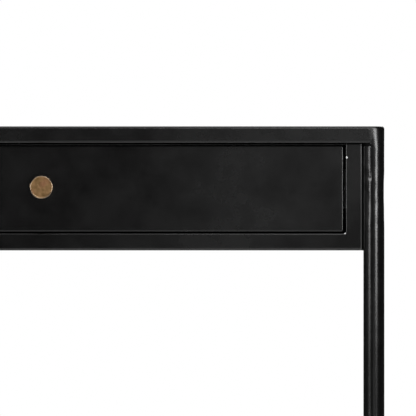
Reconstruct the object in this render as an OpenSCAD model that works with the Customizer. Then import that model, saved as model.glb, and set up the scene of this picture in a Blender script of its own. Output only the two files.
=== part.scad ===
// Sheet steel writing desk: four round tube legs, a folded top and two drawers on ball slides.
// Millimetres, +Z up. The knobs face -Y, and the origin is on the floor below the middle of the desk.

/* [Desk] */
// Width of the desktop
desk_w = 1524; // [1200:1:1800]
// Depth of the desktop, front edge to back edge
desk_d = 610; // [600:1:760]
// Height of the desktop above the floor
desk_h = 762; // [700:1:800]

/* [Desktop] */
// Height of the folded edge, upper face to lower edge
top_edge = 19.4; // [12:0.1:40]
// Thickness of the desktop sheet
top_sheet = 2; // [1:0.5:3]
// Width of the lip folded in under the edge
top_lip = 12; // [8:1:20]

/* [Legs] */
// Outer diameter of the leg tubes
leg_d = 24.4; // [20:0.1:32]
// Wall of the leg tubes
leg_wall = 1.6; // [1.2:0.1:2.5]
// Height of the nylon foot that shows below each leg
glide_h = 4; // [3:0.5:10]

/* [Case] */
// Gap between a leg and the side of the case
case_gap = 2; // [1:0.5:6]
// How far the case stands back from the edge of the desktop, front and rear
case_setback = 13; // [8:0.5:20]
// Height of the case under the desktop
case_h = 125.1; // [115:0.1:180]
// Thickness of the case sheets
case_sheet = 1.5; // [1:0.1:2]
// Thickness of the side panels, which carry the slides
side_sheet = 2; // [1.5:0.5:3]
// Width of the stiles beside the legs
stile_w = 18.6; // [16:0.1:30]
// Width of the stile between the drawers
centre_stile_w = 18; // [16:1:40]
// Height of the rail under the drawers
rail_h = 20; // [15:0.1:25]
// Depth of the folds that run back from the drawer openings
fold_d = 12; // [8:1:12]

/* [Drawers] */
// Height of the drawer fronts
front_h = 100.2; // [98:0.1:101]
// Depth of the folded drawer fronts
front_d = 15; // [14:1:20]
// Thickness of the drawer fronts
front_sheet = 1.5; // [1:0.1:2]
// Gap at each end of a drawer front
end_gap = 2.7; // [1:0.1:4]
// Gap under a drawer front
lower_gap = 1.8; // [1:0.1:2]
// Height of the drawer boxes
box_h = 80; // [60:1:82]
// Thickness of the drawer boxes
box_sheet = 1.2; // [0.8:0.1:1.5]

/* [Knobs] */
// Diameter of the knobs
knob_d = 26.5; // [22:0.1:35]
// How far the knobs stand out of the drawer fronts
knob_out = 25; // [24:0.5:35]
// Height of the knobs above the middle of the drawer fronts
knob_rise = 1.7; // [-10:0.1:10]

/* [Slides] */
// Length of the ball slides, which is also their travel
slide_l = 500; // [450:10:500]

/* [Hidden] */
$fn = 64;

half_w = desk_w / 2;
under_z = desk_h - top_edge;
front_y = (knob_out - case_setback - desk_d) / 2;
back_y = front_y + desk_d;
mid_y = (front_y + back_y) / 2;

leg_r = leg_d / 2;
leg_x = half_w - leg_r;
leg_y = desk_d / 2 - leg_r;
plate_l = 60;
plate_t = 3;
glide_plug_l = 14;
glide_rim = 1;
glide_chamfer = 1.5;

case_x = half_w - leg_d - case_gap;
inner_x = case_x - side_sheet;
case_z = under_z - case_h;
case_y0 = front_y + case_setback;
case_y1 = back_y - case_setback;
behind_frame = case_y0 + case_sheet;
before_back = case_y1 - case_sheet;
folds_end = case_y0 + fold_d;
past_folds = folds_end + 1;
open_x0 = centre_stile_w / 2;
open_x1 = case_x - stile_w;
open_z = case_z + rail_h;
open_r = 2.2;

strip_y = [leg_r + 3, leg_r + 11];

stiffener_w = 40;
stiffener_flange = 10;
stiffener_end = 80;
side_flange = 16;
case_screw_y = [-180, 0, 180];

drawer_x0 = open_x0 + end_gap;
drawer_x1 = open_x1 - end_gap;
drawer_x = (drawer_x0 + drawer_x1) / 2;
drawer_z0 = open_z + lower_gap;
drawer_z = drawer_z0 + front_h / 2;
drawer_r = 2.6;
front_flange = 25;
front_screw_x = [-270, 0, 270];
front_screw_z = 31;

slide_t = 12.7;
slide_y = case_y0 + front_d + 3;
stop_l = 5;
member_t = 1.2;
cabinet_h = 45.5;
cabinet_depth = 10;
middle_h = 34.8;
middle_u = 3.6;
middle_depth = 10.6;
rail_member_h = 25.8;
rail_member_u = 6.2;
cage_t = 0.8;
cage_l = 100;
cage_y = 190;
cage_balls = 5;
outer_cage_h = 39.8;
outer_cage_u = [1.9, 8.2];
outer_ball_r = 1.9;
outer_ball_u = 6.4;
inner_cage_h = 29.9;
inner_cage_u = [5, 10];
inner_ball_r = 1.5;
inner_ball_u = 8.3;
play = 0.2;
cabinet_screw_y = [20, 350, 480];
rail_screw_y = [30, 250, 470];

channel_h = 52;
box_x0 = open_x0 + slide_t;
box_x1 = open_x1 - slide_t;
box_y = case_y0 + front_d;
box_l = slide_l + 10;
box_z = drawer_z - box_h / 2 - 1.5;
hem_h = 8;
end_fold = 6;

screw_r = 2;
head_r = 3.8;
knob_bore = 14;

steel_black = [0.06, 0.06, 0.06];
steel_zinc = [0.62, 0.62, 0.6];
slide_black = [0.09, 0.09, 0.09];
brass_aged = [0.47, 0.36, 0.24];
nylon_black = [0.05, 0.05, 0.05];
rubber_grey = [0.1, 0.1, 0.1];

// Shared shapes

module block(x, y, z) {
    // A box from its [low, high] along each axis
    translate([x[0], y[0], z[0]])
        cube([x[1] - x[0], y[1] - y[0], z[1] - z[0]]);
}

module rounded_square(w, d, r) {
    // A centred rectangle whose corners are true arcs
    square([w - 2 * r, d], center = true);
    square([w, d - 2 * r], center = true);
    for (sx = [-1, 1], sy = [-1, 1])
        translate([sx * (w / 2 - r), sy * (d / 2 - r)])
            circle(r);
}

module upright(x, y, z, r) {
    // A plate that stands across the desk, with round corners seen from the front
    translate([(x[0] + x[1]) / 2, y[1], (z[0] + z[1]) / 2])
        rotate([90, 0, 0])
            linear_extrude(y[1] - y[0])
                rounded_square(x[1] - x[0], z[1] - z[0], r);
}

module desktop_outline(inset) {
    rounded_square(desk_w - 2 * inset, desk_d - 2 * inset, leg_r - inset);
}

module on_side(side) {
    // Draws for the right half of the desk, or mirrors it to the left
    if (side > 0)
        children();
    else
        mirror([1, 0, 0])
            children();
}

module across(x, y, z) {
    // Stands a shape drawn along +Z along +X
    translate([x, y, z])
        rotate([0, 90, 0])
            children();
}

module screw(length, head_h, shank_r = screw_r) {
    // Head below Z = 0 and shank above it
    translate([0, 0, -head_h])
        cylinder(h = head_h, r = head_r);
    cylinder(h = length, r = shank_r);
}

// Desktop and legs

module desktop() {
    color(steel_black)
        translate([0, mid_y, under_z])
            difference() {
                linear_extrude(top_edge)
                    desktop_outline(0);
                translate([0, 0, top_sheet])
                    linear_extrude(top_edge - 2 * top_sheet)
                        desktop_outline(top_sheet);
                translate([0, 0, -1])
                    linear_extrude(top_sheet + 2)
                        square([desk_w - 2 * top_lip, desk_d - 2 * top_lip], center = true);
            }
}

module top_stiffener(x) {
    // A hat section, spot welded under the sheet, that the case hangs from
    depth = top_edge - top_sheet;
    y = [front_y + stiffener_end, back_y - stiffener_end];
    half = stiffener_w / 2;
    brim = half + stiffener_flange;
    color(steel_black)
        difference() {
            union() {
                block([x - half, x + half], y, [under_z, under_z + depth]);
                block([x - brim, x + brim], y, [under_z + depth - case_sheet, under_z + depth]);
            }
            block(
                [x - half + case_sheet, x + half - case_sheet],
                [y[0] - 1, y[1] + 1],
                [under_z + case_sheet, under_z + depth + 1]
            );
            if (x != 0)
                for (dy = case_screw_y)
                    translate([sign(x) * (inner_x - side_flange / 2), mid_y + dy, under_z - 1])
                        cylinder(h = case_sheet + 2, r = screw_r + play);
        }
}

module leg_corner_plates() {
    // One plate over each leg, on the lip inside the corner of the folded edge
    color(steel_black)
        for (sx = [-1, 1], sy = [-1, 1])
            translate([0, mid_y, under_z + top_sheet])
                intersection() {
                    linear_extrude(plate_t)
                        desktop_outline(top_sheet + play);
                    translate([sx * half_w, sy * desk_d / 2, 0])
                        cube(2 * plate_l, center = true);
                }
}

module leg(sx, sy) {
    color(steel_black)
        translate([sx * leg_x, mid_y + sy * leg_y, glide_h])
            difference() {
                cylinder(h = under_z - glide_h, r = leg_r);
                translate([0, 0, -1])
                    cylinder(h = under_z - glide_h + 2, r = leg_r - leg_wall);
            }
}

module glide(sx, sy) {
    // A nylon plug pressed into the tube
    foot_r = leg_r - glide_rim;
    color(nylon_black)
        translate([sx * leg_x, mid_y + sy * leg_y, 0]) {
            cylinder(h = glide_chamfer, r1 = foot_r - glide_chamfer, r2 = foot_r);
            translate([0, 0, glide_chamfer])
                cylinder(h = glide_h - glide_chamfer, r = foot_r);
            cylinder(h = glide_h + glide_plug_l, r = leg_r - leg_wall - play / 2);
        }
}

module leg_strips() {
    // Upright strips that close the gap between each leg and the side of the case
    color(steel_black)
        for (sx = [-1, 1], sy = [-1, 1])
            translate([0, mid_y, 0])
                mirror([sx < 0 ? 1 : 0, 0, 0])
                    mirror([0, sy < 0 ? 0 : 1, 0])
                        difference() {
                            block(
                                [case_x, leg_x],
                                [strip_y[0] - desk_d / 2, strip_y[1] - desk_d / 2],
                                [case_z, under_z]
                            );
                            translate([leg_x, -leg_y, case_z - 1])
                                cylinder(h = case_h + 2, r = leg_r);
                        }
}

// Case

module drawer_openings(y, grow) {
    // Both drawer openings, with round lower corners, running up past the case
    above = 20;
    for (side = [-1, 1])
        on_side(side)
            upright(
                [open_x0 - grow, open_x1 + grow],
                y,
                [open_z - grow, under_z + above],
                open_r + grow
            );
}

module front_frame() {
    // One sheet, folded back round its ends and lower edge and round both openings
    y = [case_y0, folds_end];
    fold_x = case_x - case_sheet;
    above = [under_z, 2 * desk_h];
    color(steel_black)
        difference() {
            union() {
                difference() {
                    block([-case_x, case_x], y, [case_z, under_z]);
                    block([-fold_x, fold_x], [behind_frame, y[1] + 1], [case_z + case_sheet, above[1]]);
                }
                drawer_openings(y, case_sheet);
            }
            drawer_openings([y[0] - 1, y[1] + 1], 0);
            block([-half_w, half_w], [y[0] - 1, y[1] + 1], above);
        }
}

module side_panel(side) {
    color(steel_black)
        on_side(side)
            difference() {
                union() {
                    block([inner_x, case_x], [folds_end, before_back], [case_z, under_z]);
                    block(
                        [inner_x - side_flange, case_x],
                        [past_folds, before_back],
                        [under_z - case_sheet, under_z]
                    );
                }
                for (dy = case_screw_y)
                    translate([inner_x - side_flange / 2, mid_y + dy, under_z - case_sheet - 1])
                        cylinder(h = case_sheet + 2, r = screw_r + play);
            }
}

module back_panel() {
    color(steel_black)
        block([-case_x, case_x], [before_back, case_y1], [case_z, under_z]);
}

module bottom_panel() {
    color(steel_black)
        block([-inner_x, inner_x], [folds_end, before_back], [case_z, case_z + case_sheet]);
}

module centre_divider() {
    // A folded box that carries the two inner slides
    y = [past_folds, before_back];
    color(steel_black)
        difference() {
            block([-open_x0, open_x0], y, [case_z + case_sheet, under_z]);
            block(
                [case_sheet - open_x0, open_x0 - case_sheet],
                [y[0] - 1, y[1] + 1],
                [case_z, under_z - case_sheet]
            );
            for (dy = cabinet_screw_y)
                across(-open_x0 - 1, slide_y + dy, drawer_z)
                    cylinder(h = 2 * open_x0 + 2, r = screw_r + play);
        }
}

module slide_channel(side) {
    // A channel that packs the outer slide out to the edge of the drawer opening
    y = [past_folds, before_back];
    z = [drawer_z - channel_h / 2, drawer_z + channel_h / 2];
    color(steel_black)
        on_side(side)
            difference() {
                block([open_x1, inner_x], y, z);
                block(
                    [open_x1 + case_sheet, inner_x + 1],
                    [y[0] - 1, y[1] + 1],
                    [z[0] + case_sheet, z[1] - case_sheet]
                );
                for (dy = cabinet_screw_y)
                    across(open_x1 - 1, slide_y + dy, drawer_z)
                        cylinder(h = case_sheet + 2, r = screw_r + play);
            }
}

module case_screws() {
    // Screws through the side panel flanges, up into the stiffeners
    head_h = 2;
    color(steel_zinc)
        for (side = [-1, 1], dy = case_screw_y)
            translate([side * (inner_x - side_flange / 2), mid_y + dy, under_z - case_sheet])
                screw(2 * case_sheet + 4, head_h);
}

// Ball slides. U runs from the case towards the drawer.

module slide_at(side, outer) {
    // Places a slide drawn with U along +X, Y from its front end and Z from its middle
    on_side(side)
        translate([outer ? open_x1 : open_x0, slide_y, drawer_z])
            mirror([outer ? 1 : 0, 0, 0])
                children();
}

module channel_section(u, h, t, web_first) {
    // A channel section with its web at the first or the last U
    difference() {
        translate([u[0], -h / 2])
            square([u[1] - u[0], h]);
        translate([web_first ? u[0] + t : u[0] - 1, t - h / 2])
            square([u[1] - u[0] - t + 1, h - 2 * t]);
    }
}

module along_slide(length) {
    translate([0, length, 0])
        rotate([90, 0, 0])
            linear_extrude(length)
                children();
}

module cabinet_slide(side, outer) {
    lip = 1;
    length = slide_l + stop_l + 1;
    color(slide_black)
        slide_at(side, outer)
            difference() {
                along_slide(length)
                    union() {
                        channel_section([0, cabinet_depth], cabinet_h, member_t, true);
                        for (s = [-1, 1])
                            translate([cabinet_depth - lip / 2, s * (cabinet_h / 2 - member_t)])
                                square([lip, 2 * lip], center = true);
                    }
                for (y = cabinet_screw_y)
                    across(-1, y, 0)
                        cylinder(h = member_t + 2, r = screw_r + play);
            }
}

module middle_slide(side, outer) {
    color(slide_black)
        slide_at(side, outer)
            along_slide(slide_l)
                channel_section([middle_u, middle_depth], middle_h, member_t, true);
}

module drawer_slide(side, outer) {
    color(slide_black)
        slide_at(side, outer)
            difference() {
                along_slide(slide_l)
                    channel_section([rail_member_u, slide_t], rail_member_h, member_t, false);
                for (y = rail_screw_y)
                    across(slide_t - member_t - 1, y, 0)
                        cylinder(h = member_t + 2, r = screw_r + play);
            }
}

module ball_rows(r, u, h) {
    // Two rows of balls, or of the holes that hold them
    pitch = cage_l / cage_balls;
    for (s = [-1, 1], i = [0 : cage_balls - 1])
        translate([u, cage_y + pitch * (i + 0.5), s * (h - cage_t) / 2])
            children();
}

module ball_cage(side, outer, u, h, ball_r, ball_u) {
    color(steel_zinc)
        slide_at(side, outer) {
            difference() {
                translate([0, cage_y, 0])
                    along_slide(cage_l)
                        channel_section(u, h, cage_t, true);
                ball_rows(ball_r, ball_u, h)
                    cylinder(h = 2 * cage_t, r = ball_r + play / 2, center = true);
            }
            ball_rows(ball_r, ball_u, h)
                sphere(ball_r);
        }
}

module outer_balls(side, outer) {
    // Between the cabinet member and the middle member
    ball_cage(side, outer, outer_cage_u, outer_cage_h, outer_ball_r, outer_ball_u);
}

module inner_balls(side, outer) {
    // Between the middle member and the drawer member
    ball_cage(side, outer, inner_cage_u, inner_cage_h, inner_ball_r, inner_ball_u);
}

module slide_stops() {
    // Rubber blocks at the rear of each slide that the closed members come up to
    color(rubber_grey)
        for (side = [-1, 1], outer = [false, true])
            slide_at(side, outer)
                block(
                    [member_t, cabinet_depth - 1],
                    [slide_l + 0.3, slide_l + stop_l],
                    [-8, 8]
                );
}

module cabinet_slide_screws() {
    head_h = 1.8;
    reach = member_t + case_sheet + 1.5;
    color(steel_zinc)
        for (side = [-1, 1], outer = [false, true], y = cabinet_screw_y)
            slide_at(side, outer)
                translate([member_t, y, 0])
                    rotate([0, -90, 0])
                        screw(reach, head_h);
}

// Drawers

module drawer_front(side) {
    // A folded pan: face, four returns and a flange round the back
    y = [case_y0, case_y0 + front_d];
    z = [drawer_z0, drawer_z0 + front_h];
    t = front_sheet;
    color(steel_black)
        on_side(side)
            difference() {
                upright([drawer_x0, drawer_x1], y, z, drawer_r);
                upright(
                    [drawer_x0 + t, drawer_x1 - t],
                    [y[0] + t, y[1] - t],
                    [z[0] + t, z[1] - t],
                    drawer_r - t
                );
                block(
                    [drawer_x0 + front_flange, drawer_x1 - front_flange],
                    [y[0] + 2 * t, y[1] + 1],
                    [z[0] + front_flange, z[1] - front_flange]
                );
                translate([drawer_x, y[0] + 2 * t, drawer_z + knob_rise])
                    rotate([90, 0, 0])
                        cylinder(h = 3 * t, r = screw_r + play);
                for (dx = front_screw_x, s = [-1, 1])
                    translate([drawer_x + dx, y[1] + 1, drawer_z + s * front_screw_z])
                        rotate([90, 0, 0])
                            cylinder(h = t + 2, r = screw_r + play);
            }
}

module drawer_box(side) {
    // One sheet folded up at both sides, with the upper edges hemmed flat inside
    x = [box_x0, box_x1];
    y = [box_y, box_y + box_l];
    z = [box_z, box_z + box_h];
    t = box_sheet;
    color(steel_black)
        on_side(side)
            difference() {
                block(x, y, z);
                block([x[0] + t, x[1] - t], [y[0] - 1, y[1] + 1], [z[0] + t, z[1] - hem_h]);
                block([x[0] + 2 * t, x[1] - 2 * t], [y[0] - 1, y[1] + 1], [z[0] + t, z[1] + 1]);
                for (dy = rail_screw_y)
                    across(x[0] - 1, slide_y + dy, drawer_z)
                        cylinder(h = x[1] - x[0] + 2, r = screw_r + play);
            }
}

module drawer_ends(side) {
    // The front and back walls, each folded inwards all round and welded inside the box
    x = [box_x0 + box_sheet, box_x1 - box_sheet];
    y = [box_y, box_y + box_l];
    z = [box_z + box_sheet, box_z + box_h];
    t = box_sheet;
    color(steel_black)
        on_side(side)
            difference() {
                union() {
                    block(x, [y[0], y[0] + end_fold], z);
                    block(x, [y[1] - end_fold, y[1]], z);
                }
                block([x[0] + t, x[1] - t], [y[0] + t, y[1] - t], [z[0] + t, z[1] - t]);
                // The folds stop short of the hems
                for (x_hem = [[x[0] - 1, x[0] + t + play], [x[1] - t - play, x[1] + 1]])
                    block(x_hem, [y[0] - 1, y[1] + 1], [z[1] - hem_h - play, z[1] + 1]);
                for (dx = front_screw_x, s = [-1, 1])
                    translate([drawer_x + dx, y[0] + t + 1, drawer_z + s * front_screw_z])
                        rotate([90, 0, 0])
                            cylinder(h = t + 2, r = screw_r + play);
            }
}

module knob(side) {
    // A turned knob with a raised rim, on a neck with a round base
    r = knob_d / 2;
    color(brass_aged)
        on_side(side)
            translate([drawer_x, case_y0, drawer_z + knob_rise])
                rotate([90, 0, 0])
                    rotate_extrude()
                        polygon([
                            [screw_r + play, 0],
                            [r * 0.55, 0],
                            [r * 0.55, 1.5],
                            [r * 0.4, 3.5],
                            [r * 0.4, knob_out * 0.5],
                            [r * 0.7, knob_out * 0.62],
                            [r, knob_out * 0.7],
                            [r, knob_out - 1],
                            [r - 0.8, knob_out],
                            [r - 1.6, knob_out],
                            [r - 2.2, knob_out - 0.8],
                            [0, knob_out - 0.8],
                            [0, knob_bore],
                            [screw_r + play, knob_bore]
                        ]);
}

module knob_screw(side) {
    head_h = 2.4;
    color(steel_zinc)
        on_side(side)
            translate([drawer_x, case_y0 + front_sheet, drawer_z + knob_rise])
                rotate([90, 0, 0])
                    screw(front_sheet + knob_bore - 2, head_h);
}

module front_screws(side) {
    // Screws from inside the drawer into the flange of its front
    head_h = 1.8;
    color(steel_zinc)
        on_side(side)
            for (dx = front_screw_x, s = [-1, 1])
                translate([drawer_x + dx, box_y + box_sheet, drawer_z + s * front_screw_z])
                    rotate([90, 0, 0])
                        screw(box_sheet + front_sheet + 3, head_h);
}

module slide_screws(side) {
    // Screws through the drawer members into the sides of the drawer box
    head_h = 1.4;
    color(steel_zinc)
        for (outer = [false, true], y = rail_screw_y)
            slide_at(side, outer)
                translate([slide_t - member_t, y, 0])
                    rotate([0, 90, 0])
                        screw(member_t + box_sheet + 0.8, head_h);
}

desktop();
top_stiffener(side_flange / 2 - inner_x);  // top_stiffener_left
top_stiffener(0);  // top_stiffener_centre
top_stiffener(inner_x - side_flange / 2);  // top_stiffener_right
leg_corner_plates();
leg(-1, -1);  // leg_front_left
leg(1, -1);  // leg_front_right
leg(-1, 1);  // leg_rear_left
leg(1, 1);  // leg_rear_right
glide(-1, -1);  // glide_front_left
glide(1, -1);  // glide_front_right
glide(-1, 1);  // glide_rear_left
glide(1, 1);  // glide_rear_right
leg_strips();
front_frame();
side_panel(-1);  // side_panel_left
side_panel(1);  // side_panel_right
back_panel();
bottom_panel();
centre_divider();
slide_channel(-1);  // slide_channel_left
slide_channel(1);  // slide_channel_right
case_screws();
cabinet_slide(-1, true);  // cabinet_slide_left_outer
cabinet_slide(-1, false);  // cabinet_slide_left_inner
cabinet_slide(1, false);  // cabinet_slide_right_inner
cabinet_slide(1, true);  // cabinet_slide_right_outer
middle_slide(-1, true);  // middle_slide_left_outer
middle_slide(-1, false);  // middle_slide_left_inner
middle_slide(1, false);  // middle_slide_right_inner
middle_slide(1, true);  // middle_slide_right_outer
drawer_slide(-1, true);  // drawer_slide_left_outer
drawer_slide(-1, false);  // drawer_slide_left_inner
drawer_slide(1, false);  // drawer_slide_right_inner
drawer_slide(1, true);  // drawer_slide_right_outer
outer_balls(-1, true);  // outer_balls_left_outer
outer_balls(-1, false);  // outer_balls_left_inner
outer_balls(1, false);  // outer_balls_right_inner
outer_balls(1, true);  // outer_balls_right_outer
inner_balls(-1, true);  // inner_balls_left_outer
inner_balls(-1, false);  // inner_balls_left_inner
inner_balls(1, false);  // inner_balls_right_inner
inner_balls(1, true);  // inner_balls_right_outer
slide_stops();
cabinet_slide_screws();
drawer_front(-1);  // drawer_front_left
drawer_box(-1);  // drawer_box_left
drawer_ends(-1);  // drawer_ends_left
knob(-1);  // knob_left
knob_screw(-1);  // knob_screw_left
front_screws(-1);  // front_screws_left
slide_screws(-1);  // slide_screws_left
drawer_front(1);  // drawer_front_right
drawer_box(1);  // drawer_box_right
drawer_ends(1);  // drawer_ends_right
knob(1);  // knob_right
knob_screw(1);  // knob_screw_right
front_screws(1);  // front_screws_right
slide_screws(1);  // slide_screws_right
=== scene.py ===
"""Looks, camera and light for the steel writing desk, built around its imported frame.

Lengths are in metres. Every piece is sized and placed from the frame's own boxes, and keeps the
frame's axes: +X right, +Y back, +Z up.
"""

import math

import bmesh
import bpy
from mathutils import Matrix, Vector


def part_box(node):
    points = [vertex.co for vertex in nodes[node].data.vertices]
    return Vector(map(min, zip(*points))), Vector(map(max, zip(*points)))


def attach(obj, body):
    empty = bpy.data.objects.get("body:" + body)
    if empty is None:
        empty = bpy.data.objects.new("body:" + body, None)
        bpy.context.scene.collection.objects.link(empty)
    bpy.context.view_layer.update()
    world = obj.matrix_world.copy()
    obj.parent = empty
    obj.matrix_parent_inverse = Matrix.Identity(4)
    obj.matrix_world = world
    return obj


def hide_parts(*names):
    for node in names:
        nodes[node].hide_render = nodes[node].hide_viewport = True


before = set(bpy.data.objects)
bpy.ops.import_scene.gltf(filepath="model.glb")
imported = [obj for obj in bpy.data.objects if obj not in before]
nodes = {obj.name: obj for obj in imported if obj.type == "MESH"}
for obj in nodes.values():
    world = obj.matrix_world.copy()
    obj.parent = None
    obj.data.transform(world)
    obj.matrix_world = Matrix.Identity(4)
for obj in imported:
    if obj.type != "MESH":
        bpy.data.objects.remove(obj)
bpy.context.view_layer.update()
scene = bpy.context.scene

MM = 0.001
TINY = 0.05 * MM

# Sizes read from the frame

top_lo, top_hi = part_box("desktop")
leg_lo, leg_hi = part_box("leg_front_right")
case_lo, case_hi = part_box("front_frame")
box_lo, box_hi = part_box("drawer_box_right")
knob_lo, knob_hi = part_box("knob_right")
LEG_R = (leg_hi.x - leg_lo.x) / 2
UNDER_Z = top_lo.z
TOP_EDGE = top_hi.z - top_lo.z

# Sheet thicknesses, bend radii and folds, which the frame's boxes don't give

TOP_SHEET = 2 * MM
TOP_LIP = 12 * MM
TOP_BEND = 3 * MM
TOP_CORNER = 21 * MM
CORNER_POWER = 3
CASE_BEND = 1.7 * MM
SIDE_BEND = 0.7 * MM
UPPER_BEND = 2 * MM
LOWER_BEND = 3.2 * MM
FRONT_SHEET = 1.5 * MM
FRONT_CORNER = 2.6 * MM
FRONT_BEND = 1.5 * MM
FRONT_FLANGE = 25 * MM
BOX_SHEET = 1.2 * MM
BOX_HEM = 8 * MM
KNOB_RIM = 1.2 * MM


# Mesh helpers


def new_piece(name, bm, body, material, replaces=(), origin=(0, 0, 0)):
    """Turns a bmesh into a piece with smooth bends and flat faces, riding on a body."""
    bmesh.ops.recalc_face_normals(bm, faces=bm.faces)
    for face in bm.faces:
        face.smooth = True
    for edge in bm.edges:
        edge.smooth = len(edge.link_faces) == 2 and edge.calc_face_angle() < math.radians(32)
    mesh = bpy.data.meshes.new(name)
    bm.to_mesh(mesh)
    bm.free()
    mesh.materials.append(material)
    piece = bpy.data.objects.new(name, mesh)
    piece.location = origin
    scene.collection.objects.link(piece)
    flatten(piece)
    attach(piece, body)
    if replaces:
        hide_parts(*replaces)
    return piece


def flatten(piece):
    """Keeps large faces flat where they meet a small bend."""
    modifier = piece.modifiers.new("flat faces", "WEIGHTED_NORMAL")
    modifier.mode = "FACE_AREA"
    modifier.weight = 60
    modifier.keep_sharp = True


def skin(bm, rings):
    """Joins rings of points, all of one length, into a surface closed at both ends."""
    rows = [[bm.verts.new(point) for point in ring] for ring in rings]
    count = len(rows[0])
    for low, high in zip(rows, rows[1:]):
        for i in range(count):
            j = (i + 1) % count
            bm.faces.new((low[i], low[j], high[j], high[i]))
    bm.faces.new(rows[0])
    bm.faces.new(rows[-1])


def arc(centre, radius, start, end, steps=6):
    """Points on an arc, as (inset, height), with its angles in degrees."""
    angles = [math.radians(start + (end - start) * i / steps) for i in range(steps + 1)]
    return [(centre[0] + radius * math.cos(a), centre[1] + radius * math.sin(a)) for a in angles]


def corner_points(power, steps):
    """A unit corner from (1, 0) to (0, 1): an arc for power 2, softer where it starts for more."""
    points = [(1, 0)]
    for i in range(1, steps):
        ratio = math.tan(math.pi / 2 * i / steps) ** (1 / (power - 1))
        u = 1 / (1 + ratio**power) ** (1 / power)
        points.append((u, u * ratio))
    return points + [(0, 1)]


def outline(width, depth, radius, power=2, steps=10):
    """A rounded rectangle round the origin."""
    points = []
    corner = corner_points(power, steps)
    for side, end in ((1, 1), (-1, 1), (-1, -1), (1, -1)):
        x, y = side * (width / 2 - radius), end * (depth / 2 - radius)
        turned = [(x + side * radius * u, y + end * radius * v) for u, v in corner]
        points += turned if side == end else turned[::-1]
    return points


def sweep(bm, width, depth, radius, profile, place, power=2, steps=10):
    """Sweeps a profile of (inset, height) round a rounded rectangle and closes both ends."""
    rings = []
    for inset, height in profile:
        corner = max(radius - inset, TINY)
        ring = outline(width - 2 * inset, depth - 2 * inset, corner, power, steps)
        rings.append([place(u, v, height) for u, v in ring])
    skin(bm, rings)


def ring_of(radius_at, height, place, segments):
    """One ring of points round an axis, with a radius for each angle."""
    turns = [math.tau * i / segments for i in range(segments)]
    return [place(radius_at(a) * math.cos(a), radius_at(a) * math.sin(a), height) for a in turns]


def lathe_rings(profile, place, segments):
    """Turns a profile of (radius, height) round an axis."""
    return [ring_of(lambda a, r=radius: r, height, place, segments) for radius, height in profile]


def smoothstep(low, high, value):
    """Rises smoothly from 0 at low to 1 at high."""
    t = min(max((value - low) / (high - low), 0), 1)
    return t * t * (3 - 2 * t)


# Materials


class Nodes:
    """A material's node tree, with short calls for the few nodes used here."""

    def __init__(self, name):
        self.material = bpy.data.materials.new(name)
        self.material.use_nodes = True
        self.tree = self.material.node_tree
        self.shader = self.tree.nodes["Principled BSDF"]
        self.place = self.add("ShaderNodeTexCoord").outputs["Object"]

    def add(self, kind, inputs=(), **settings):
        node = self.tree.nodes.new(kind)
        for key, value in settings.items():
            setattr(node, key, value)
        for key, value in dict(inputs).items():
            self.feed(node.inputs[key], value)
        return node

    def feed(self, socket, value):
        if isinstance(value, bpy.types.NodeSocket):
            self.tree.links.new(value, socket)
        else:
            socket.default_value = value

    def noise(self, scale, detail=3.0, stretch=(1, 1, 1), roughness=0.5):
        """Noise with `scale` features to the metre, drawn out along an axis by stretch."""
        place = self.add("ShaderNodeMapping", {"Vector": self.place, "Scale": stretch})
        inputs = {
            "Vector": place.outputs["Vector"],
            "Scale": scale,
            "Detail": detail,
            "Roughness": roughness,
        }
        return self.add("ShaderNodeTexNoise", inputs).outputs["Fac"]

    def band(self, value, low, high, out_low, out_high):
        """Maps a value from one range to another, clamped."""
        inputs = {
            "Value": value,
            "From Min": low,
            "From Max": high,
            "To Min": out_low,
            "To Max": out_high,
        }
        return self.add("ShaderNodeMapRange", inputs).outputs["Result"]

    def maths(self, operation, first, second):
        node = self.add("ShaderNodeMath", operation=operation)
        self.feed(node.inputs[0], first)
        self.feed(node.inputs[1], second)
        return node.outputs["Value"]

    def blend(self, factor, first, second):
        """Mixes two colours."""
        node = self.add("ShaderNodeMix", data_type="RGBA")
        self.feed(node.inputs["Factor"], factor)
        self.feed(node.inputs["A"], first)
        self.feed(node.inputs["B"], second)
        return node.outputs["Result"]

    def bump(self, height, strength, distance, normal=None):
        inputs = {"Height": height, "Strength": strength, "Distance": distance}
        if normal is not None:
            inputs["Normal"] = normal
        return self.add("ShaderNodeBump", inputs).outputs["Normal"]

    def finish(self, **inputs):
        for key, value in inputs.items():
            self.feed(self.shader.inputs[key.replace("_", " ")], value)
        return self.material


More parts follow.
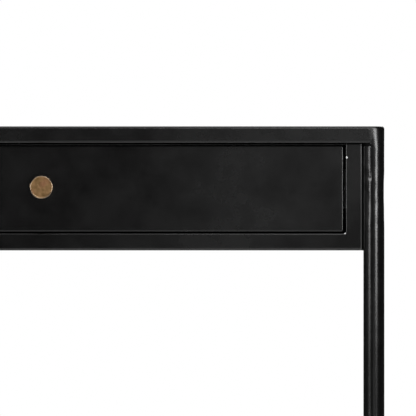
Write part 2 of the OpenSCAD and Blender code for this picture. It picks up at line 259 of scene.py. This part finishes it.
def black_paint(name, dark, pale, highlight_from=None, glints=()):
    """Satin black over hand-ground steel: faint mottling, fine brush lines and soft waves.

    The coat is duller on the desktop. Beyond highlight_from, out from the middle, a painted highlight
    makes the coat paler, most towards the top.
    Glints are painted highlights: pale spots, as x, z and radius.
    """
    n = Nodes(name)
    mottle = n.noise(26, 5, roughness=0.6)
    cloud = n.noise(6, 1)
    brush = n.noise(60, 4, stretch=(0.25, 1, 9))
    grain = n.noise(1400, 2)
    specks = n.noise(420, 2)
    colour = n.blend(n.band(mottle, 0.35, 0.7, 0, 1), grey(dark), grey(pale))
    dust = n.band(specks, 0.74, 0.8, 0, 0.5)
    colour = n.blend(dust, colour, grey(0.03))
    place = n.add("ShaderNodeSeparateXYZ", {"Vector": n.place}).outputs
    # Painted highlight: beyond highlight_from the folds are painted paler, most towards the top,
    # where light would catch them
    if highlight_from:
        out = n.maths("ABSOLUTE", place["X"], 0.0)
        edge_highlight = n.band(out, highlight_from - 0.3 * MM, highlight_from + 0.3 * MM, 0, 1)
        highlight_rise = n.band(place["Z"], UNDER_Z - 60 * MM, UNDER_Z - 5 * MM, 0, 1)
        colour = n.blend(edge_highlight, colour, n.blend(highlight_rise, grey(0.07), grey(0.16)))
    # Painted glints: pale grey spots standing in for glints of light
    for x, z, radius in glints:
        flat = n.add("ShaderNodeVectorMath", operation="MULTIPLY")
        n.feed(flat.inputs[0], n.place)
        n.feed(flat.inputs[1], (1, 0, 1))
        away = n.add("ShaderNodeVectorMath", operation="DISTANCE")
        n.feed(away.inputs[0], flat.outputs["Vector"])
        n.feed(away.inputs[1], (x, 0, z))
        glint_spot = n.band(away.outputs["Value"], radius * 0.8, radius * 1.2, 1, 0)
        colour = n.blend(glint_spot, colour, grey(0.6))
    rough = n.band(n.maths("ADD", mottle, cloud), 0.75, 1.25, 0.2, 0.28)
    dull = n.band(place["Z"], UNDER_Z - 4 * MM, UNDER_Z + 4 * MM, 0, 0.03)
    rough = n.maths("ADD", rough, dull)
    normal = n.bump(cloud, 0.2, 4 * MM)
    normal = n.bump(brush, 0.06, 0.4 * MM, normal)
    normal = n.bump(grain, 0.05, 0.05 * MM, normal)
    return n.finish(Base_Color=colour, Roughness=rough, Normal=normal)


def grey(value):
    return (value, value, value, 1)


def painted_shade_coat():
    """Painted shade: a near-black coat that barely reflects, for the gaps and creases beside the legs
    and under the desktop that lie in shade.
    """
    n = Nodes("painted_shade_coat")
    dust = n.noise(80, 3)
    rough = n.band(dust, 0.3, 0.7, 0.7, 0.9)
    colour = n.blend(dust, grey(0.001), grey(0.002))
    return n.finish(Base_Color=colour, Roughness=rough, Specular_IOR_Level=0.1)


def aged_brass(polished_from):
    """Turned brass, browned by age, with fine rings from the lathe and a rim rubbed bright."""
    n = Nodes("aged_brass")
    patina = n.noise(240, 5, roughness=0.6)
    bloom = n.noise(70, 2)
    place = n.add("ShaderNodeSeparateXYZ", {"Vector": n.place}).outputs
    squares = [n.maths("POWER", place[axis], 2.0) for axis in "XZ"]
    out = n.maths("SQRT", n.maths("ADD", *squares), 0.0)
    rubbed = n.band(out, polished_from - 0.3 * MM, polished_from + 0.3 * MM, 0, 1)
    dark, pale, red, bright = (
        (0.25, 0.15, 0.06, 1),
        (0.36, 0.214, 0.102, 1),
        (0.33, 0.15, 0.085, 1),
        (0.33, 0.245, 0.165, 1),
    )
    colour = n.blend(n.band(patina, 0.3, 0.7, 0, 1), dark, pale)
    colour = n.blend(n.band(bloom, 0.45, 0.65, 0, 0.7), colour, red)
    colour = n.blend(rubbed, colour, bright)
    rough = n.maths("SUBTRACT", n.band(patina, 0.3, 0.7, 0.34, 0.46), n.band(rubbed, 0, 1, 0, 0.18))
    rings = n.maths("SINE", n.maths("MULTIPLY", out, 14000.0), 0.0)
    normal = n.bump(rings, 0.08, 0.05 * MM)
    normal = n.bump(patina, 0.1, 0.2 * MM, normal)
    return n.finish(Base_Color=colour, Roughness=rough, Normal=normal, Metallic=1.0)


def zinc_plate(name, streak):
    """Bright zinc plate with drawn lines along the length."""
    n = Nodes(name)
    lines = n.noise(90, 3, stretch=streak)
    spangle = n.noise(55, 3)
    colour = n.blend(n.band(spangle, 0.35, 0.65, 0, 1), (0.42, 0.43, 0.44, 1), (0.6, 0.6, 0.58, 1))
    rough = n.band(lines, 0.3, 0.7, 0.22, 0.38)
    normal = n.bump(lines, 0.08, 0.1 * MM)
    return n.finish(Base_Color=colour, Roughness=rough, Normal=normal, Metallic=1.0)


def electrocoat():
    """Thin black coat on the slides, worn a little along the length."""
    n = Nodes("slide_coat")
    lines = n.noise(90, 3, stretch=(14, 0.4, 14))
    wear = n.noise(40, 4)
    colour = n.blend(n.band(wear, 0.5, 0.75, 0, 1), grey(0.006), grey(0.016))
    rough = n.band(lines, 0.3, 0.7, 0.3, 0.42)
    return n.finish(Base_Color=colour, Roughness=rough, Normal=n.bump(lines, 0.06, 0.1 * MM))


def moulded(name, dark, pale, low, high):
    """A dull moulded surface with a fine grain, between two greys and two roughnesses."""
    n = Nodes(name)
    grain = n.noise(900, 3)
    scuff = n.noise(60, 4)
    colour = n.blend(n.band(scuff, 0.4, 0.7, 0, 1), grey(dark), grey(pale))
    rough = n.band(scuff, 0.3, 0.7, low, high)
    normal = n.bump(grain, 0.12, 0.08 * MM)
    return n.finish(Base_Color=colour, Roughness=rough, Normal=normal)


PAINT = black_paint("black_paint", 0.001, 0.0024)
# Painted glints on the right stile, beside the drawer: pale spots where light glints, as x, z and
# radius
PAINTED_GLINTS = (
    (case_hi.x - 17.4 * MM, case_hi.z - 16.8 * MM, 1.2 * MM),
    (case_hi.x - 19.4 * MM, case_lo.z + 19.9 * MM, 0.9 * MM),
)
# This paint carries the painted highlights on the frame's outer folds and the painted glints on the
# stile
FRAME_PAINT_WITH_HIGHLIGHTS = black_paint("frame_paint_with_highlights", 0.001, 0.0024, case_hi.x - 1.0 * MM, PAINTED_GLINTS)
SHADE_COAT = painted_shade_coat()
BRASS = aged_brass((knob_hi.x - knob_lo.x) / 2 - KNOB_RIM)
CAGE_ZINC = zinc_plate("cage_zinc", (14, 0.4, 14))
SCREW_ZINC = zinc_plate("screw_zinc", (4, 4, 4))
SLIDE_BLACK = electrocoat()
NYLON = moulded("foot_nylon", 0.008, 0.02, 0.5, 0.7)
RUBBER = moulded("stop_rubber", 0.012, 0.025, 0.7, 0.9)


# Desktop


def make_desktop():
    """The folded top: rounded edges, a lip turned in below and softly blended corners."""
    middle = (top_lo + top_hi) / 2
    inner = TOP_SHEET
    ease = 0.5 * MM
    profile = [(TOP_BEND + 1.5 * MM, TOP_EDGE)]
    profile += arc((TOP_BEND, TOP_EDGE - TOP_BEND), TOP_BEND, 90, 180)
    # The face rolls in a little above the lower bend
    roll_from, roll_to, roll_in = 3.6 * MM, 1.3 * MM, 0.22 * MM
    for i in range(7):
        profile.append((roll_in * (i / 6) ** 2, roll_from + (roll_to - roll_from) * i / 6))
    lean = math.atan(2 * roll_in / (roll_from - roll_to))
    bend = roll_to / (1 - math.sin(lean))
    profile += arc((roll_in + bend * math.cos(lean), bend), bend, 180 + math.degrees(lean), 270)[1:]
    profile += arc((TOP_LIP - ease, ease), ease, 270, 360, 3)
    profile += arc((TOP_LIP - ease, inner - ease), ease, 0, 90, 3)
    profile += [(inner + ease, inner), (inner, inner + ease)]
    profile += [(inner, TOP_EDGE - inner - ease), (inner + ease, TOP_EDGE - inner)]
    profile += [(inner + 6 * MM, TOP_EDGE - inner)]
    bm = bmesh.new()
    sweep(
        bm,
        top_hi.x - top_lo.x - 2 * TINY,
        top_hi.y - top_lo.y - 2 * TINY,
        TOP_CORNER,
        profile,
        lambda u, v, h: (middle.x + u, middle.y + v, UNDER_Z + h),
        CORNER_POWER,
        24,
    )
    new_piece("desktop_skin", bm, "desk", PAINT, ["desktop"])


# Legs

WELD_R = 1.5 * MM
# Painted shade on the legs, just under the desktop: how far down it goes, and where it starts round
# the leg
LEG_SHADE_DROP = 3.9 * MM
LEG_SHADE_TURN = 10
# Its upper edge falls in a curve from the desktop towards the front of the leg
LEG_SHADE_START = 9.1 * MM
LEG_SHADE_REACH = 8 * MM
LEG_SHADE_FALL = 4 * MM
# Drops from the desktop's face between which a leg is ground by hand
GRIND_TOP = 20 * MM
GRIND_BOTTOM = 135 * MM
# Dents left by hand grinding: turn from the front, drop from the top, depth, and both widths
DENTS = (
    (100, 80 * MM, 0.6 * MM, 38, 21 * MM),
    (-48, 56 * MM, 0.3 * MM, 20, 5 * MM),
    (-50, 75 * MM, 0.65 * MM, 22, 9 * MM),
    (-52, 92 * MM, 0.3 * MM, 22, 9 * MM),
    (-5, 73 * MM, 0.16 * MM, 16, 6 * MM),
    (-8, 32 * MM, 0.2 * MM, 18, 12 * MM),
    (-17, 55 * MM, 0.16 * MM, 7, 2 * MM),
    (-30, 75 * MM, -0.14 * MM, 6, 2.2 * MM),
)
# One small flat: its turn, drop, depth and half its height
FLAT_TURN = -25
FLAT_DROP = 60.5 * MM
FLAT_DEPTH = 0.42 * MM
FLAT_HALF = 1.7 * MM


def corner_reach(turn):
    """From the axis of a leg out to the blended corner of the desktop. Turn is 0 at the front."""
    a = math.radians(turn)
    shift = TOP_CORNER - LEG_R
    low, high = LEG_R / 2, 2 * LEG_R
    for _ in range(30):
        r = (low + high) / 2
        u = max(r * math.sin(a) + shift, 0) / TOP_CORNER
        v = max(r * math.cos(a) + shift, 0) / TOP_CORNER
        low, high = (r, high) if u**CORNER_POWER + v**CORNER_POWER < 1 else (low, r)
    return low


def outer_reach(turn, reach, drop):
    """How far a leg's surface is from its axis, given its drop below the desktop's lower edge."""
    lean = max(-turn, turn - 90, 0)
    # Between the front and the outer side, the desktop's corner is inside the tube's circle
    if reach <= LEG_R:
        return LEG_R + (reach - LEG_R) * (1 - smoothstep(-17 * MM, 9 * MM, drop))
    if drop < 0:
        # The tube blends into the folded edge, and slips under it further round
        from_turn = 8 + 22 * smoothstep(1.5 * MM, 7 * MM, -drop)
        return reach + (LEG_R - reach) * smoothstep(from_turn, from_turn + 16, lean)
    height = WELD_R - min(drop, WELD_R)
    weld = WELD_R - math.sqrt(WELD_R**2 - height**2)
    neck = 0.8 * MM * smoothstep(14, 30, lean) * (1 - smoothstep(2 * MM, 4.5 * MM, drop))
    return LEG_R + min(weld, reach - LEG_R) * (1 - smoothstep(30, 60, lean)) - neck


def ground_depth(turn, drop, phase):
    """The dents and shallow waves that hand grinding left in the upper part of a leg."""
    if not GRIND_TOP < drop < GRIND_BOTTOM:
        return 0
    rise = smoothstep(GRIND_TOP, GRIND_TOP + 12 * MM, drop)
    fall = 1 - smoothstep(GRIND_BOTTOM - 40 * MM, GRIND_BOTTOM, drop)
    depth = 0
    for at_turn, at_drop, deep, wide, tall in DENTS:
        off = (turn - at_turn + 180) % 360 - 180
        at = at_drop + 5 * MM * math.sin(phase)
        depth += deep * math.exp(-((off / wide) ** 2) - ((drop - at) / tall) ** 2)
    a = math.radians(turn)
    depth += 0.07 * MM * (1 + math.sin(drop / (6.2 * MM) + 2 * a + phase))
    depth += 0.05 * MM * (1 + math.sin(drop / (3.4 * MM) - 3 * a + 2 * phase))
    return depth * rise * fall


def leg_shade_top(turn):
    """How far below the desktop the painted shade on a leg starts."""
    lean = math.radians(min(max(-turn, turn - 90), 90))
    along = min(max(LEG_SHADE_START - LEG_R * math.sin(lean), 0) / LEG_SHADE_REACH, 1)
    return LEG_SHADE_FALL * (1 - math.sqrt(1 - along**2))


def flat_limit(turn, drop):
    """The greatest radius that the small flat leaves."""
    off = turn - FLAT_TURN
    if abs(off) > 60:
        return LEG_R
    window = 1 - smoothstep(FLAT_HALF, 2 * FLAT_HALF, abs(drop - FLAT_DROP))
    return (LEG_R - FLAT_DEPTH * window) / math.cos(math.radians(off))


def leg_heights():
    """Ring heights: sparse down the tube and close together where the surface changes."""
    foot = leg_lo.z
    heights = [foot, foot + 0.3 * MM, foot + 0.8 * MM]
    z = foot + 4 * MM
    while z < top_hi.z - GRIND_BOTTOM - 2 * MM:
        heights.append(z)
        z += 20 * MM
    z = top_hi.z - GRIND_BOTTOM
    while z < UNDER_Z - 9 * MM:
        heights.append(z)
        z += 1.2 * MM
    z = UNDER_Z - 9 * MM
    while z < UNDER_Z + 7 * MM:
        heights.append(z)
        z += 0.5 * MM
    heights += [top_hi.z - step * MM for step in (10, 7, 4)]
    return heights + [top_hi.z - TOP_BEND - 0.5 * MM, top_hi.z - TOP_BEND]


def make_leg(side, end, name, phase):
    """One tube with its welded top. Side and end are its signs in x and y, and phase its own wear."""
    lo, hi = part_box(name)
    centre = (lo + hi) / 2
    segments = 150
    turns = [360 * i / segments - 180 for i in range(segments)]
    reaches = [corner_reach(turn) for turn in turns]
    rings = []
    for z in leg_heights():
        drop = top_hi.z - z
        chamfer = max(0.8 * MM - (z - leg_lo.z), 0) * 0.5
        tuck = 0.3 * MM if drop <= TOP_BEND + 0.1 * MM else 0
        ring = []
        for turn, reach in zip(turns, reaches):
            radius = outer_reach(turn, reach, UNDER_Z - z) - ground_depth(turn, drop, phase)
            if GRIND_TOP < drop < GRIND_BOTTOM:
                radius = min(radius, flat_limit(turn, drop))
            radius -= chamfer + tuck
            a = math.radians(turn)
            x, y = side * radius * math.sin(a), end * radius * math.cos(a)
            ring.append((centre.x + x, centre.y + y, z))
        rings.append(ring)
    bm = bmesh.new()
    skin(bm, rings)
    # Faces just under the desktop, round the inner side and back of the leg, get the painted shade
    # coat
    for face in bm.faces:
        middle = face.calc_center_median()
        turn = math.degrees(math.atan2(side * (middle.x - centre.x), end * (middle.y - centre.y)))
        behind = not -LEG_SHADE_TURN < turn < 90 + LEG_SHADE_TURN
        if behind and leg_shade_top(turn) < UNDER_Z - middle.z < LEG_SHADE_DROP:
            face.material_index = 1
    tube = new_piece(name.replace("leg", "leg_tube"), bm, "desk", PAINT, [name])
    tube.data.materials.append(SHADE_COAT)


# Case


def round_folds(bm, widest, width_of):
    """Rounds edges, each by its own width."""
    weight = bm.edges.layers.float.new("bevel_weight_edge")
    for edge in bm.edges:
        edge[weight] = width_of(*(v.co for v in edge.verts)) / widest
    mesh = bpy.data.meshes.new("folds")
    bm.to_mesh(mesh)
    sheet = bpy.data.objects.new("folds", mesh)
    scene.collection.objects.link(sheet)
    bevel = sheet.modifiers.new("folds", "BEVEL")
    bevel.limit_method = "WEIGHT"
    bevel.width = widest
    bevel.segments = 6
    bevel.use_clamp_overlap = False
    rounded = sheet.evaluated_get(bpy.context.evaluated_depsgraph_get())
    bm.clear()
    bm.from_mesh(rounded.to_mesh())
    bpy.data.objects.remove(sheet)
    bpy.data.meshes.remove(mesh)


def make_front_frame():
    """The one-sheet frame round the drawers, with every fold of its face rounded."""
    near = 0.01 * MM

    def fold_width(a, b):
        """How far the edge from a to b is rounded, if it is one of the face's folds."""
        if max(a.y, b.y) > case_lo.y + near:
            return 0
        if min(a.z, b.z) > case_hi.z - near:
            return UPPER_BEND
        if max(a.z, b.z) < case_lo.z + near:
            return LOWER_BEND
        return SIDE_BEND if min(abs(a.x), abs(b.x)) > case_hi.x - near else CASE_BEND

    bm = bmesh.new()
    bm.from_mesh(nodes["front_frame"].data)
    bmesh.ops.remove_doubles(bm, verts=bm.verts, dist=0.001 * MM)
    bmesh.ops.dissolve_limit(bm, angle_limit=math.radians(0.5), verts=bm.verts, edges=bm.edges)
    round_folds(bm, LOWER_BEND, fold_width)
    # The upper fold lies in the shade under the desktop, so it gets the painted shade coat
    for face in bm.faces:
        if face.normal.z > 0.1 and face.calc_center_median().z > case_hi.z - UPPER_BEND:
            face.material_index = 1
    sheet = new_piece("front_frame_sheet", bm, "desk", FRAME_PAINT_WITH_HIGHLIGHTS, ["front_frame"])
    sheet.data.materials.append(SHADE_COAT)


def soften(name, material, width=0.25 * MM):
    """Gives a CAD node its material and a small round along its edges."""
    node = nodes[name]
    node.data.materials.clear()
    node.data.materials.append(material)
    bevel = node.modifiers.new("eased edges", "BEVEL")
    bevel.width = width
    bevel.segments = 2
    bevel.limit_method = "ANGLE"
    bevel.angle_limit = math.radians(40)
    bevel.harden_normals = False
    flatten(node)


# Drawers


def make_drawer_front(side, name):
    """The folded drawer front: rounded face, four returns and a flange round the back."""
    lo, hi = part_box(name)
    middle = (lo + hi) / 2
    deep = hi.y - lo.y
    t, b, ease = FRONT_SHEET, FRONT_BEND, 0.4 * MM
    profile = [(b + 1.2 * MM, 0)]
    profile += arc((b, b), b, 270, 180)
    profile += arc((1 * MM, deep - 1 * MM), 1 * MM, 180, 90, 4)
    profile += arc((FRONT_FLANGE - ease, deep - ease), ease, 90, 0, 3)
    profile += arc((FRONT_FLANGE - ease, deep - t + ease), ease, 0, -90, 3)
    profile += [(t + ease, deep - t), (t, deep - t - ease), (t, t + ease)]
    profile += [(t + ease, t), (t + 5 * MM, t)]
    bm = bmesh.new()
    sweep(
        bm,
        hi.x - lo.x,
        hi.z - lo.z,
        FRONT_CORNER,
        profile,
        lambda u, v, h: (middle.x + u, lo.y + h, middle.z + v),
    )
    new_piece(name.replace("front", "face"), bm, "drawer_" + side, PAINT, [name])


def make_drawer_box(side, name):
    """The bottom and sides in one folded sheet, with the upper edges hemmed flat inside."""
    lo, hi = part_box(name)
    wide, tall = hi.x - lo.x, hi.z - lo.z
    t, b, ease = BOX_SHEET, 1.6 * MM, 0.3 * MM
    half = arc((b, b), b, 270, 180)
    half += arc((t, tall - t), t, 180, 0, 8)
    half += arc((2 * t - ease, tall - BOX_HEM + ease), ease, 0, -90, 3)
    half += [(t, tall - BOX_HEM), (t, t + 1 * MM), (t + 0.3 * MM, t + 0.3 * MM), (t + 1 * MM, t)]
    section = half + [(wide - u, v) for u, v in reversed(half)]
    bm = bmesh.new()
    skin(bm, [[(lo.x + u, y, lo.z + v) for u, v in section] for y in (lo.y, hi.y)])
    new_piece(name.replace("box", "tray"), bm, "drawer_" + side, PAINT, [name])


def make_knob(side, name):
    """A turned knob: round base, slim neck and a flat head with a thin raised rim."""
    lo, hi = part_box(name)
    r = (hi.x - lo.x) / 2
    out = hi.y - lo.y
    rim = KNOB_RIM
    profile = [(0.3 * MM, 0), (r * 0.55 - 0.3 * MM, 0)]
    profile += arc((r * 0.55 - 0.4 * MM, 0.5 * MM), 0.4 * MM, -90, 0, 3)
    profile += arc((r * 0.55 - 0.4 * MM, 1.4 * MM), 0.4 * MM, 0, 90, 3)
    profile += arc((r * 0.4 + 1.6 * MM, 3.4 * MM), 1.6 * MM, 270, 180, 5)
    profile += arc((r * 0.4 + 5 * MM, out * 0.52), 5 * MM, 180, 120, 6)
    profile += arc((r - 3 * MM, out * 0.7 + 0.5 * MM), 3 * MM, -60, 0, 6)
    profile += arc((r - rim / 2, out - rim / 2), rim / 2, 0, 150, 8)
    profile += [(r - rim - 0.25 * MM, out - 0.62 * MM), (r - rim - 0.9 * MM, out - 0.75 * MM)]
    profile += [(r * 0.6, out - 0.72 * MM), (r * 0.3, out - 0.66 * MM), (0.4 * MM, out - 0.62 * MM)]
    bm = bmesh.new()
    skin(bm, lathe_rings(profile, lambda u, v, h: (u, -h, v), 96))
    middle = (lo + hi) / 2
    origin = (middle.x, hi.y, middle.z)
    new_piece(name + "_turned", bm, "drawer_" + side, BRASS, [name], origin)


def islands(node):
    """Boxes of the separate solids in a node."""
    bm = bmesh.new()
    bm.from_mesh(nodes[node].data)
    bmesh.ops.remove_doubles(bm, verts=bm.verts, dist=0.001 * MM)
    left = set(bm.verts)
    found = []
    while left:
        seed = left.pop()
        group, queue = {seed}, [seed]
        while queue:
            for edge in queue.pop().link_edges:
                for vert in edge.verts:
                    if vert in left:
                        left.discard(vert)
                        group.add(vert)
                        queue.append(vert)
        points = [v.co for v in group]
        low = Vector([min(p[i] for p in points) for i in range(3)])
        high = Vector([max(p[i] for p in points) for i in range(3)])
        found.append((low, high))
    bm.free()
    return sorted(found, key=lambda pair: tuple(round(v, 5) for v in pair[0]))


def add_screw(bm, low, high, axis, way, head):
    """One pan head screw with a socket, its head at the end that way points to."""
    centre = (low + high) / 2
    end = high[axis] if way > 0 else low[axis]
    length = high[axis] - low[axis]
    others = [i for i in range(3) if i != axis]
    radius = (high[others[0]] - low[others[0]]) / 2
    shank = 2 * MM
    dome = head * 0.45
    socket = radius * 0.42

    def place(u, v, h):
        point = Vector(centre)
        point[others[0]] += u
        point[others[1]] += v
        point[axis] = end - way * h
        return point

    profile = [(0.2 * MM, length), (shank * 0.6, length), (shank, length - 0.8 * MM)]
    profile += [(shank, head), (radius - 0.2 * MM, head), (radius, head - 0.2 * MM)]
    profile += [(radius, dome), (radius * 0.93, dome * 0.45)]
    profile += [(radius * 0.75, dome * 0.12), (radius * 0.55, 0)]

    def hexagon(a):
        return socket / math.cos((a + math.pi / 6) % (math.pi / 3) - math.pi / 6)

    segments = 24
    rings = lathe_rings(profile, place, segments)
    rings += [ring_of(hexagon, height, place, segments) for height in (0, head * 0.55)]
    skin(bm, rings)


def make_screws(node, body, axis, way_of, head):
    """Every screw of a node. way_of says, from a screw's middle, which way its head faces."""
    bm = bmesh.new()
    for low, high in islands(node):
        add_screw(bm, low, high, axis, way_of((low + high) / 2), head)
    new_piece(node + "_heads", bm, body, SCREW_ZINC, [node])


def make_desk():
    make_desktop()
    for index, (side, end) in enumerate(((1, -1), (-1, -1), (1, 1), (-1, 1))):
        place = ("front" if end < 0 else "rear") + ("_left" if side < 0 else "_right")
        make_leg(side, end, "leg_" + place, 1.7 * index)
        soften("glide_" + place, NYLON, 0.3 * MM)
    make_front_frame()
    # The strips in the gaps beside the legs get the painted shade coat
    soften("leg_strips", SHADE_COAT)
    plain = ["leg_corner_plates", "back_panel", "bottom_panel", "centre_divider"]
    plain += ["top_stiffener_" + place for place in ("left", "centre", "right")]
    for side in ("left", "right"):
        plain += ["side_panel_" + side, "slide_channel_" + side]
    for name in plain:
        soften(name, PAINT)
    soften("slide_stops", RUBBER)
    make_screws("case_screws", "desk", 2, lambda middle: -1, 2 * MM)


def make_slides():
    for place in ("left_outer", "left_inner", "right_inner", "right_outer"):
        for member in ("cabinet_slide", "middle_slide", "drawer_slide"):
            soften(f"{member}_{place}", SLIDE_BLACK, 0.15 * MM)
        for cage in ("outer_balls", "inner_balls"):
            soften(f"{cage}_{place}", CAGE_ZINC, 0.1 * MM)
    slide_mid = (box_lo.x + box_hi.x) / 2

    def away_from_wall(middle):
        # Cabinet screws face the drawer, which is on the side of the slide nearer its middle
        drawer = math.copysign(slide_mid, middle.x)
        return 1 if drawer > middle.x else -1

    make_screws("cabinet_slide_screws", "desk", 0, away_from_wall, 1.8 * MM)
    for side in ("left", "right"):
        body = "drawer_" + side
        make_screws("slide_screws_" + side, body, 0, lambda m: -away_from_wall(m), 1.4 * MM)


def make_drawers():
    for side in ("left", "right"):
        make_drawer_front(side, "drawer_front_" + side)
        make_drawer_box(side, "drawer_box_" + side)
        soften("drawer_ends_" + side, PAINT)
        make_knob(side, "knob_" + side)
        body = "drawer_" + side
        make_screws("front_screws_" + side, body, 1, lambda m: 1, 1.8 * MM)
        make_screws("knob_screw_" + side, body, 1, lambda m: 1, 2.4 * MM)


make_desk()
make_slides()
make_drawers()


# Floor, light and camera


def make_floor():
    bm = bmesh.new()
    bmesh.ops.create_circle(bm, cap_ends=True, segments=96, radius=7)
    mesh = bpy.data.meshes.new("floor")
    bm.to_mesh(mesh)
    bm.free()
    n = Nodes("floor_paper")
    tone = n.noise(3, 2)
    colour = n.blend(tone, grey(0.8), grey(0.84))
    material = n.finish(Base_Color=colour, Roughness=0.9)
    # It looks pale far out too, where no lamp reaches, but the desk mirrors only the lamps' light
    seen = n.add("ShaderNodeLightPath").outputs["Is Camera Ray"]
    away = n.add("ShaderNodeVectorMath", operation="LENGTH")
    n.feed(away.inputs[0], n.place)
    glow = n.band(away.outputs["Value"], 1.0, 5.5, 0.34, 1.0)
    n.feed(n.shader.inputs["Emission Color"], colour)
    n.feed(n.shader.inputs["Emission Strength"], n.maths("MULTIPLY", seen, glow))
    mesh.materials.append(material)
    floor = bpy.data.objects.new("floor", mesh)
    scene.collection.objects.link(floor)


def softbox(name, place, aim, width, height, radiance):
    """A rectangular light with a given brightness per area, whatever its size."""
    light = bpy.data.lights.new(name, "AREA")
    light.shape = "RECTANGLE"
    light.size = width
    light.size_y = height
    light.energy = radiance * math.pi * width * height
    lamp = bpy.data.objects.new(name, light)
    lamp.location = place
    lamp.rotation_mode = "QUATERNION"
    lamp.rotation_quaternion = (Vector(aim) - Vector(place)).to_track_quat("-Z", "Y")
    lamp.visible_camera = False
    scene.collection.objects.link(lamp)


def bearing(origin, degrees, distance, height):
    """A point at a bearing from the front of a leg, right of straight ahead if positive."""
    a = math.radians(degrees)
    return (origin.x + distance * math.sin(a), origin.y - distance * math.cos(a), height)


def make_lights():
    corner = Vector(((leg_lo.x + leg_hi.x) / 2, (leg_lo.y + leg_hi.y) / 2, 0))
    # Both stop low, so that the desktop mirrors little of them to a viewer behind
    near, far = 0.87, 1.04
    near_aim, far_aim = (corner.x, corner.y, near), (corner.x, corner.y, far)
    softbox("right_strip", bearing(corner, 27, 1.5, near), near_aim, 0.52, 0.5, 13.6)
    softbox("left_box", bearing(corner, -50, 2.8, far), far_aim, 0.85, 0.76, 10.2)
    softbox("left_side", bearing(corner, -82, 2.6, far), far_aim, 1.2, 0.76, 0.6)
    softbox("upper_right", bearing(corner, 10, 2.2, 2.1), (corner.x, corner.y, 0.8), 1.3, 0.7, 6.5)
    softbox("corner_spot", bearing(corner, 25, 2, 2.1), (corner.x, corner.y, 0.76), 0.4, 0.5, 12)
    softbox("face_fill", (0.74, -2, 1.0), (0.74, 0, 1.0), 0.36, 0.44, 0.55)
    softbox("low_fill", (corner.x, -2.4, 0.26), (corner.x, 0, 0.26), 0.7, 0.4, 0.75)
    softbox("overhead", (0, -0.4, 3.2), (0, 0, 0), 3.2, 2.4, 1.6)
    softbox("floor_glow", (0, -0.3, 0.004), (0, -0.3, 1), 3.6, 2.6, 0.34)
    softbox("rear_box", (0, 3.6, 2.2), (0, 0, 0.9), 3.4, 1.6, 1.8)


def make_world():
    """White behind the object, and a dim grey room for its reflections."""
    world = bpy.data.worlds.new("studio")
    scene.world = world
    world.use_nodes = True
    tree = world.node_tree
    tree.nodes.clear()
    path = tree.nodes.new("ShaderNodeLightPath")
    room = tree.nodes.new("ShaderNodeBackground")
    room.inputs["Color"].default_value = grey(0.042)
    paper = tree.nodes.new("ShaderNodeBackground")
    paper.inputs["Color"].default_value = grey(1)
    mix = tree.nodes.new("ShaderNodeMixShader")
    out = tree.nodes.new("ShaderNodeOutputWorld")
    tree.links.new(path.outputs["Is Camera Ray"], mix.inputs["Fac"])
    tree.links.new(room.outputs["Background"], mix.inputs[1])
    tree.links.new(paper.outputs["Background"], mix.inputs[2])
    tree.links.new(mix.outputs["Shader"], out.inputs["Surface"])


VIEW_WIDTH = 0.484
RIGHT_MARGIN = 0.0368
TOP_MARGIN = 0.1469
VIEW_DISTANCE = 20.0


def make_camera():
    """A long lens, level and square to the front, close on the right front corner."""
    data = bpy.data.cameras.new("camera")
    data.sensor_width = 36
    data.lens = data.sensor_width * VIEW_DISTANCE / VIEW_WIDTH
    data.clip_start = 1
    data.clip_end = 100
    target = Vector((
        top_hi.x + RIGHT_MARGIN - VIEW_WIDTH / 2,
        top_lo.y,
        top_hi.z + TOP_MARGIN - VIEW_WIDTH / 2,
    ))
    # In line with the right legs, so that the front leg hides the rear one
    camera = bpy.data.objects.new("camera", data)
    camera.location = ((leg_lo.x + leg_hi.x) / 2, top_lo.y - VIEW_DISTANCE, target.z)
    camera.rotation_mode = "QUATERNION"
    camera.rotation_quaternion = (target - camera.location).to_track_quat("-Z", "Y")
    scene.collection.objects.link(camera)
    scene.camera = camera


make_floor()
make_lights()
make_world()
make_camera()
scene.view_settings.view_transform = "Standard"
